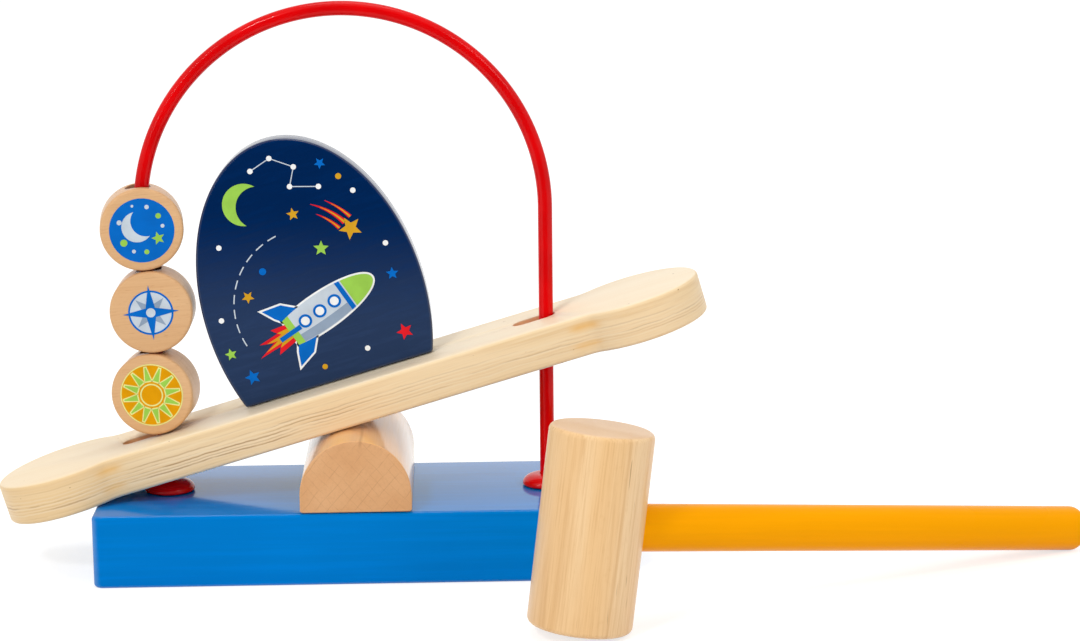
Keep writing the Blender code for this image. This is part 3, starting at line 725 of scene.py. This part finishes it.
def add_collars():
    """Domed collars with a rounded rim and a small lip round the wire."""
    wire_low, wire_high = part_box("wire_arch")
    bore = (wire_high.y - wire_low.y) / 2 + BORE_GAP
    mouth = bore + COLLAR_LIP
    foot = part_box("base_block")[1].z + BORE_GAP
    for name in ("collar_left", "collar_right"):
        low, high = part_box(name)
        centre = (low + high) / 2
        radius = (high.x - low.x) / 2
        rim = (radius - COLLAR_RIM_R, foot + COLLAR_RIM_R)
        profile = [(bore, low.z), (SLEEVE_R, low.z), (SLEEVE_R, foot), (rim[0], foot)]
        profile += arc(rim, COLLAR_RIM_R, -QUARTER, 0.0, EDGE_STEPS)
        for i in range(1, CORNER_STEPS + 1):
            angle = QUARTER * i / CORNER_STEPS
            spread = mouth + (radius - mouth) * math.cos(angle)
            profile.append((spread, rim[1] + (high.z - rim[1]) * math.sin(angle)))
        profile.append((bore, high.z))
        mesh = lathe(name, profile, looped=True)
        place = Matrix.Translation((centre.x, centre.y, 0.0))
        place_piece(name + "_dome", mesh, "base", RED_PLASTIC, place, [name])


# Seesaw

def plank_outline(middle, half_length, paddle_r):
    """Straight waist that runs through concave fillets into two round paddles."""
    fillet_y = PLANK_WAIST_W / 2 + WAIST_FILLET_R
    reach = paddle_r + WAIST_FILLET_R
    paddle_x = half_length - paddle_r
    fillet_x = paddle_x - math.sqrt(reach * reach - fillet_y * fillet_y)
    lean = math.atan2(fillet_y, fillet_x - paddle_x)
    quarter = arc((fillet_x, fillet_y), WAIST_FILLET_R, QUARTER * 3, math.pi + lean, CORNER_STEPS)
    quarter += arc((paddle_x, 0.0), paddle_r, lean, 0.0, ROUND_STEPS // 2)[1:]
    right = quarter + [(x, -y) for x, y in reversed(quarter[:-1])]
    outline = [(middle + x, y) for x, y in right] + [(middle - x, -y) for x, y in right]
    return outline[::-1]


def slot_cutter(start, end, low, high):
    """Round-ended slot whose mouths flare a little."""
    half = SLOT_W / 2
    outline = arc((end - half, 0.0), half, -QUARTER, QUARTER, CORNER_STEPS * 2)
    outline += arc((start + half, 0.0), half, QUARTER, QUARTER * 3, CORNER_STEPS * 2)
    levels = [(low - SLOT_LIP, SLOT_LIP * 2), (low, SLOT_LIP), (low + SLOT_LIP, 0.0)]
    levels += [(high + low - height, spread) for height, spread in reversed(levels)]
    rings = [[(x, y, height) for x, y in offset(outline, spread)] for height, spread in levels]
    return loft("slot", rings)


def add_plank():
    low, high = plank_low, plank_high
    outline = plank_outline((low.x + high.x) / 2, (high.x - low.x) / 2, high.y)
    mesh = slab("plank", outline, low.z, high.z, PLANK_EDGE_R)
    plank = place_piece("plank", mesh, "seesaw", PLYWOOD, SEESAW, ["seesaw_plank"])
    points = local_points("seesaw_plank", SEESAW)
    # Both slots lie between these distances from the plank's middle
    inner, outer = high.x / 3, high.x - high.y
    for side in (-1, 1):
        spans = [p.x for p in points if abs(p.y) < SLOT_W and inner < side * p.x < outer]
        carve(plank, slot_cutter(min(spans), max(spans), low.z, high.z), SEESAW)
    for word in ("left", "right"):
        screw_low, screw_high = local_box("panel_screw_" + word, SEESAW)
        place = SEESAW @ Matrix.Translation(((screw_low.x + screw_high.x) / 2, 0.0, 0.0))
        sink_screw(plank, low, high, screw_low, screw_high, place)


def add_panel():
    """Ellipse cut off flat at its foot, with rounded corners. Returns the frame of its printed face."""
    low, high = local_box("sky_panel", SEESAW)
    middle = (low.x + high.x) / 2
    half_w = (high.x - low.x) / 2
    half_h = high.z - low.z - PANEL_CENTRE_H
    centre_z = low.z + PANEL_CENTRE_H
    start = math.asin(-PANEL_CENTRE_H / half_h)
    curve = []
    for i in range(ROUND_STEPS + 1):
        angle = start + (math.pi - 2 * start) * i / ROUND_STEPS
        curve.append((middle + half_w * math.cos(angle), centre_z + half_h * math.sin(angle)))
    outline = round_corner(curve[-2], curve[-1], curve[0], PANEL_CORNER_R)
    outline += round_corner(curve[-1], curve[0], curve[1], PANEL_CORNER_R)
    outline += curve[1:-1]
    mesh = slab("panel", outline, low.y, high.y, PANEL_EDGE_R, upright=True)
    place_piece("panel", mesh, "seesaw", NAVY, SEESAW, ["sky_panel"])
    return SEESAW @ Matrix.Translation((middle, low.y, low.z))


def round_corner(before, corner, after, radius):
    """Arc that replaces a corner of an outline."""
    a, b, c = Vector(before), Vector(corner), Vector(after)
    first, second = (b - a).normalized(), (c - b).normalized()
    turn = first.angle(second)
    cut = radius * math.tan(turn / 2)
    tangent = b - first * cut
    centre = tangent + Vector((-first.y, first.x)) * radius
    start = math.atan2((tangent - centre).y, (tangent - centre).x)
    return arc(centre, radius, start, start + turn, EDGE_STEPS)


# Discs

def rounded_drum(name, radius, half_length, edge):
    """Round bar along Z with rounded rims."""
    profile = arc((radius - edge, edge - half_length), edge, -QUARTER, 0.0, EDGE_STEPS)
    profile += arc((radius - edge, half_length - edge), edge, 0.0, QUARTER, EDGE_STEPS)
    return lathe(name, profile)


def add_disc(name):
    """Wooden disc with a bore across it. Returns the frame of its printed face."""
    place = disc_place(name)
    low, high = local_box(name, place)
    radius, hole_r = high.x, DISC_HOLE_D / 2
    mesh = rounded_drum(name, radius, high.y, DISC_EDGE_R)
    mesh.transform(Matrix.Rotation(QUARTER, 4, "X"))
    wood = timber(
        name + "_beech", place, BEECH_TONES, Matrix.Identity(3), rings=0.22, rays=0.30, pores=0.2,
        fibres=0.2, gloss=0.46, specular=0.25, glaze=(0.35, 0.24, 0.75), bore=hole_r,
    )
    disc = place_piece(name + "_wood", mesh, name, wood, place, [name])
    carve(disc, lathe("bore", [(hole_r, -radius * 2), (hole_r, radius * 2)], BORE_STEPS), place)
    return place @ Matrix.Translation((0.0, low.y, 0.0))


# Hammer

def add_hammer():
    head_high = local_box("hammer_head", HAMMER)[1]
    head_r = head_high.y
    mesh = rounded_drum("head", head_r, head_high.z, HEAD_EDGE_R)
    head = place_piece("head", mesh, "hammer", HEAD_WOOD, HAMMER, ["hammer_head"])
    low, high = local_box("hammer_handle", HAMMER)
    radius = high.y
    socket_r = radius + BORE_GAP
    socket = lathe("socket", [(socket_r, head_r - HANDLE_SEAT_DEPTH), (socket_r, head_r * 2)], SOCKET_STEPS)
    socket.transform(Matrix.Rotation(QUARTER, 4, "Y"))
    carve(head, socket, HAMMER)
    tip = (radius - HANDLE_EDGE_R, high.x - HANDLE_EDGE_R)
    mesh = lathe("handle", [(radius, low.x)] + arc(tip, HANDLE_EDGE_R, 0.0, QUARTER, EDGE_STEPS))
    mesh.transform(Matrix.Rotation(QUARTER, 4, "Y"))
    place_piece("handle", mesh, "hammer", AMBER, HAMMER, ["hammer_handle"])


# Prints: every figure is a list of outlines in millimetres on its face

def star(x, y, radius, points=5, waist=0.45, turn=0.0):
    """Pointed star."""
    outline = []
    for i in range(points * 2):
        reach = radius * (waist if i % 2 else 1.0)
        angle = turn + QUARTER + math.pi * i / points
        outline.append((x + reach * math.cos(angle), y + reach * math.sin(angle)))
    return outline


def dot(x, y, radius):
    """Round spot."""
    return arc((x, y), radius, 0.0, math.tau, DOT_STEPS)[:-1]


def ring(x, y, radius, width):
    """Closed band, as two half rings."""
    halves = []
    for start in (0.0, math.pi):
        outer = arc((x, y), radius + width / 2, start, start + math.pi, DOT_STEPS)
        halves.append(outer + arc((x, y), radius - width / 2, start, start + math.pi, DOT_STEPS)[::-1])
    return halves


def crescent(x, y, radius, shift, turn):
    """Disc with a second disc of the same radius, shifted along the turn, taken out of it."""
    spread = math.acos(shift / (2 * radius))
    outer = arc((0.0, 0.0), radius, spread, math.tau - spread, DOT_STEPS)
    inner = arc((shift, 0.0), radius, math.pi - spread, math.pi + spread, DOT_STEPS)[1:-1]
    return turned(outer + inner[::-1], x, y, turn)


def turned(outline, x, y, turn):
    """Outline turned about zero and then moved."""
    c, s = math.cos(turn), math.sin(turn)
    return [(x + u * c - v * s, y + u * s + v * c) for u, v in outline]


def stroke(points, width, tip=None):
    """Band along a line of points, of even width or narrowing to a tip."""
    tip = width if tip is None else tip
    left, right = [], []
    for i, (x, y) in enumerate(points):
        before, after = points[max(i - 1, 0)], points[min(i + 1, len(points) - 1)]
        along = Vector((after[0] - before[0], after[1] - before[1])).normalized()
        half = (width + (tip - width) * i / (len(points) - 1)) / 2
        left.append((x - along.y * half, y + along.x * half))
        right.append((x + along.y * half, y - along.x * half))
    return left + right[::-1]


def dashes(x, y, radius, start, end, count, width):
    """Dashed arc."""
    step = (end - start) / count
    marks = []
    for i in range(count):
        first = start + i * step
        marks.append(stroke(arc((x, y), radius, first, first + step * DASH_SHARE, DASH_STEPS), width))
    return marks


def hull(low, high, width):
    """Side view of a rocket's hull between two places along it."""
    start, end = (math.acos((x + ROCKET_BELLY) / ROCKET_REACH) for x in (low, high))
    angles = [start + (end - start) * i / DOT_STEPS for i in range(DOT_STEPS + 1)]
    top = [(ROCKET_REACH * math.cos(a) - ROCKET_BELLY, width * math.sin(a)) for a in angles]
    return top + [(x, -y) for x, y in reversed(top) if y > TINY]


def grown(outline, distance):
    """Outline moved outwards, whichever way it runs."""
    pairs = zip(outline, outline[1:] + outline[:1])
    area = sum(x * v - u * y for (x, y), (u, v) in pairs)
    return offset(outline, math.copysign(distance, area))


def print_layers(name, place, body, layers):
    """Film of ink for each layer of (ink, outlines), each standing a little over the one before."""
    for level, (colour, outlines) in enumerate(layers, 1):
        bm = bmesh.new()
        for outline in outlines:
            back = [bm.verts.new((u * MM, INK_SINK, v * MM)) for u, v in outline]
            front = [bm.verts.new((u * MM, -level * INK_STEP, v * MM)) for u, v in outline]
            bm.faces.new(back)
            bm.faces.new(front[::-1])
            for i in range(len(outline)):
                j = (i + 1) % len(outline)
                bm.faces.new((back[i], front[i], front[j], back[j]))
        mesh = finish_mesh(bm, f"{name}_{level}_{colour}")
        place_piece(mesh.name, mesh, body, INKS[colour], place)


def print_panel(place):
    """Night sky: a rocket, a dashed orbit, a crescent, a falling star, a constellation and loose stars."""
    def rocket(outline):
        return turned(outline, *ROCKET_PLACE, ROCKET_LEAN)

    rim = hull(-15.5, 21.0, 6.6)
    fin = [(-7.0, 5.0), (-12.5, 10.6), (-19.5, 12.4), (-17.2, 7.5), (-15.0, 4.4)]
    lower_fin = [(u, -v) for u, v in fin]
    flame = [
        (-15.0, 3.6), (-21.0, 5.0), (-19.6, 2.6), (-27.5, 2.8), (-22.6, 0.4),
        (-30.0, -1.6), (-21.4, -2.0), (-23.4, -4.4), (-15.0, -3.6),
    ]
    core = [(u * 0.82 - 2.4, v * 0.55) for u, v in flame]
    belly = [(x, y) for x, y in hull(-15.0, 8.2, 6.4) if y < 0.0]
    shade = belly + [(x, y * 0.45) for x, y in reversed(belly)]
    centre_fin = [(-20.0, 0.7), (-20.0, -1.1), (-11.0, -1.1), (-11.0, 0.7)]
    figure = [(-7.5, 83.5), (0.5, 86.0), (8.0, 80.5), (4.5, 74.0), (14.5, 71.0)]
    lines = [stroke(pair, 0.35) for pair in zip(figure, figure[1:])]
    loose = [(-27.0, 60.0), (31.5, 44.0), (-34.5, 34.0), (26.0, 66.0), (13.5, 8.5)]
    trails, sparks = [], []
    for radius, end, width in ((24.4, 53.0, 1.5), (27.3, 60.0, 2.0), (30.2, 51.0, 1.5)):
        sweep = arc((-4.0, 42.0), radius, math.radians(30.0), math.radians(end), CORNER_STEPS)
        trails.append(stroke(sweep, width, 0.2))
        sparks.append(stroke(sweep[:-3], width * 0.4, 0.1))
    print_layers("panel_print", place, "seesaw", [
        ("pale", dashes(-1.0, 30.0, 28.5, math.radians(100), math.radians(200), 9, 0.45) + lines),
        ("white", [dot(x, y, 1.0) for x, y in figure + loose]
            + [rocket(grown(part, 0.7)) for part in (rim, fin, lower_fin)]),
        ("red", [rocket(flame), star(28.5, 10.5, 3.2, turn=0.2)] + trails),
        ("gold", [
            rocket(core), star(21.0, 53.0, 4.4, turn=0.25), star(-22.5, 39.5, 2.4, turn=0.4),
            star(2.5, 64.0, 2.4, turn=-0.1), dot(22.5, 72.5, 1.1), dot(-3.5, 6.5, 1.0),
        ] + sparks),
        ("blue", [
            rocket(fin), rocket(lower_fin), star(-30.0, 10.5, 3.0, turn=0.1),
            star(30.5, 32.5, 2.4, turn=-0.2), dot(-14.5, 47.0, 1.3), star(17.5, 79.0, 2.2, turn=0.3),
        ]),
        ("pale", [rocket(rim)]),
        ("mist", [rocket(shade)]),
        ("lime", [
            rocket(hull(10.5, 21.0, 6.6)), rocket(hull(-15.5, -12.8, 6.6)),
            crescent(-13.5, 72.5, 7.8, 5.0, -0.5), star(8.5, 49.0, 2.9, turn=-0.3), star(-35.0, 21.0, 2.3),
        ]),
        ("blue", [rocket(part) for part in (hull(8.2, 10.0, 6.6), centre_fin)]
            + [rocket(dot(x, 0.6, 2.5)) for x in PORTHOLES]),
        ("white", [rocket(dot(x, 0.6, 1.6)) for x in PORTHOLES]),
    ])


def print_discs(places):
    """A night sky, a compass star and a sunburst."""
    print_layers("top_print", places["disc_top"], "disc_top", [
        ("blue", [dot(0.0, -0.2, 11.8)]),
        ("lime", [
            dot(6.4, 4.6, 1.0), dot(-6.9, -4.2, 1.3), dot(1.0, -8.2, 0.9), star(5.6, -3.6, 2.5, turn=0.2),
        ]),
        ("pale", [
            crescent(-1.6, 1.2, 5.6, 3.9, 0.5), dot(7.6, 0.8, 0.7), dot(-7.8, 3.4, 0.9),
            dot(-3.6, -7.6, 0.7), dot(2.6, 8.2, 0.8), dot(-2.6, 9.0, 0.5),
        ]),
    ])
    long_rays = star(0.0, 0.0, 10.2, points=4, waist=0.24)
    short_rays = star(0.0, 0.0, 7.2, points=4, waist=0.34, turn=math.pi / 4)
    print_layers("middle_print", places["disc_middle"], "disc_middle", [
        ("pale", [dot(0.0, 0.0, 7.9)]),
        ("blue", ring(0.0, 0.0, 7.9, 0.7)),
        ("mist", [short_rays]),
        ("blue", [long_rays]),
        ("pale", [dot(0.0, 0.0, 1.7)]),
    ])
    rays, trims = [], []
    for i in range(SUN_RAYS):
        angle = math.tau * i / SUN_RAYS + SUN_TURN
        rays.append(turned([(5.4, -1.15), (10.4, -0.2), (10.4, 0.2), (5.4, 1.15)], 0.0, 0.0, angle))
        trims.append(turned([(4.9, -1.6), (10.9, -0.6), (10.9, 0.6), (4.9, 1.6)], 0.0, 0.0, angle))
    print_layers("low_print", places["disc_low"], "disc_low", [
        ("orange", [dot(0.0, 0.0, 11.5)]),
        ("cream", trims + ring(0.0, 0.0, 11.4, 0.4)),
        ("lime", rays),
        ("cream", ring(0.0, 0.0, 4.0, 0.5)),
    ])


# Screws, washers and nuts

def plate_fasteners():
    """Give the CAD's own meshes that still show, the fasteners, plated steel."""
    for node in NODES.values():
        if not node.hide_render:
            node.data.materials.clear()
            node.data.materials.append(STEEL)


# Stage, camera and lamps

def add_camera():
    ahead = Vector((
        math.sin(CAMERA_AZIMUTH) * math.cos(CAMERA_DIP),
        math.cos(CAMERA_AZIMUTH) * math.cos(CAMERA_DIP),
        -math.sin(CAMERA_DIP),
    ))
    level = Vector((math.cos(CAMERA_AZIMUTH), -math.sin(CAMERA_AZIMUTH), 0.0))
    rise = level.cross(ahead)
    right = math.cos(CAMERA_ROLL) * level + math.sin(CAMERA_ROLL) * rise
    up = math.cos(CAMERA_ROLL) * rise - math.sin(CAMERA_ROLL) * level
    camera = bpy.data.objects.new("camera", bpy.data.cameras.new("camera"))
    bpy.context.scene.collection.objects.link(camera)
    camera.data.lens = CAMERA_LENS
    camera.data.sensor_width = CAMERA_SENSOR
    camera.data.sensor_fit = "HORIZONTAL"
    camera.data.clip_start = 0.01
    camera.data.clip_end = 50.0
    turn = Matrix((right, up, -ahead)).transposed().to_4x4()
    camera.matrix_world = Matrix.Translation(CAMERA_PLACE) @ turn
    bpy.context.scene.camera = camera


def add_lamp(name, place, size, power, tall=None):
    """A round lamp, or an upright strip where tall is given, aimed at the toy."""
    data = bpy.data.lights.new(name, "AREA")
    data.shape = "RECTANGLE" if tall else "DISK"
    data.size = size
    data.size_y = tall or size
    data.energy = power
    lamp = bpy.data.objects.new(name, data)
    bpy.context.scene.collection.objects.link(lamp)
    lamp.location = place
    aim = LAMP_AIM - lamp.location
    lamp.rotation_mode = "QUATERNION"
    lamp.rotation_quaternion = aim.to_track_quat("-Z", "Y")


def seen_ray(tree):
    """1 for rays that show the background: camera, mirror and glass rays."""
    path = tree.nodes.new("ShaderNodeLightPath")
    total = path.outputs["Is Camera Ray"]
    for name in ("Is Glossy Ray", "Is Transmission Ray"):
        node = tree.nodes.new("ShaderNodeMath")
        node.operation = "MAXIMUM"
        tree.links.new(total, node.inputs[0])
        tree.links.new(path.outputs[name], node.inputs[1])
        total = node.outputs[0]
    return total


def grey(value):
    return (value, value, value, 1.0)


def add_world(ambient):
    """Even light from all round, behind a white that only the camera, mirrors and glass see."""
    world = bpy.data.worlds.new("studio")
    bpy.context.scene.world = world
    world.use_nodes = True
    tree = world.node_tree
    back = tree.nodes["Background"]
    back.inputs["Color"].default_value = grey(ambient)
    white = tree.nodes.new("ShaderNodeBackground")
    white.inputs["Color"].default_value = grey(1.0)
    mix = tree.nodes.new("ShaderNodeMixShader")
    tree.links.new(seen_ray(tree), mix.inputs[0])
    tree.links.new(back.outputs[0], mix.inputs[1])
    tree.links.new(white.outputs[0], mix.inputs[2])
    tree.links.new(mix.outputs[0], tree.nodes["World Output"].inputs[0])


def add_floor(glow):
    """Pale floor that shows white where it is lit and keeps the object's shadow."""
    bm = bmesh.new()
    bmesh.ops.create_grid(bm, x_segments=1, y_segments=1, size=FLOOR_HALF)
    mesh = finish_mesh(bm, "floor")
    floor = bpy.data.objects.new("floor", mesh)
    bpy.context.scene.collection.objects.link(floor)
    material = bpy.data.materials.new("floor")
    material.use_nodes = True
    tree = material.node_tree
    surface = tree.nodes["Principled BSDF"]
    tint = tree.nodes.new("ShaderNodeMix")
    tint.data_type = "RGBA"
    tint.inputs[6].default_value = grey(FLOOR_BOUNCE)
    tint.inputs[7].default_value = grey(FLOOR_SEEN)
    seen = seen_ray(tree)
    tree.links.new(seen, tint.inputs[0])
    tree.links.new(tint.outputs[2], surface.inputs["Base Color"])
    surface.inputs["Roughness"].default_value = 0.9
    surface.inputs["Specular IOR Level"].default_value = 0.0
    surface.inputs["Emission Color"].default_value = grey(1.0)
    share = tree.nodes.new("ShaderNodeMath")
    share.operation = "MULTIPLY"
    share.inputs[1].default_value = glow
    tree.links.new(seen, share.inputs[0])
    tree.links.new(share.outputs[0], surface.inputs["Emission Strength"])
    mesh.materials.append(material)


add_base()
add_block()
add_wire()
add_collars()
add_plank()
print_panel(add_panel())
print_discs({name: add_disc(name) for name in DISC_SPINS})
add_hammer()
plate_fasteners()

add_camera()
add_world(ambient=0.54)
add_floor(glow=0.70)
add_lamp("key", (-0.9, -1.5, 1.7), size=0.38, power=12.6)
add_lamp("strip", (-1.5, -1.4, 0.95), size=0.10, power=4.5, tall=1.2)
add_lamp("fill", (1.3, -1.3, 1.3), size=0.9, power=7.2)
add_lamp("top", (0.1, 0.2, 2.0), size=1.2, power=9.4)
bpy.context.scene.view_settings.view_transform = "Standard"
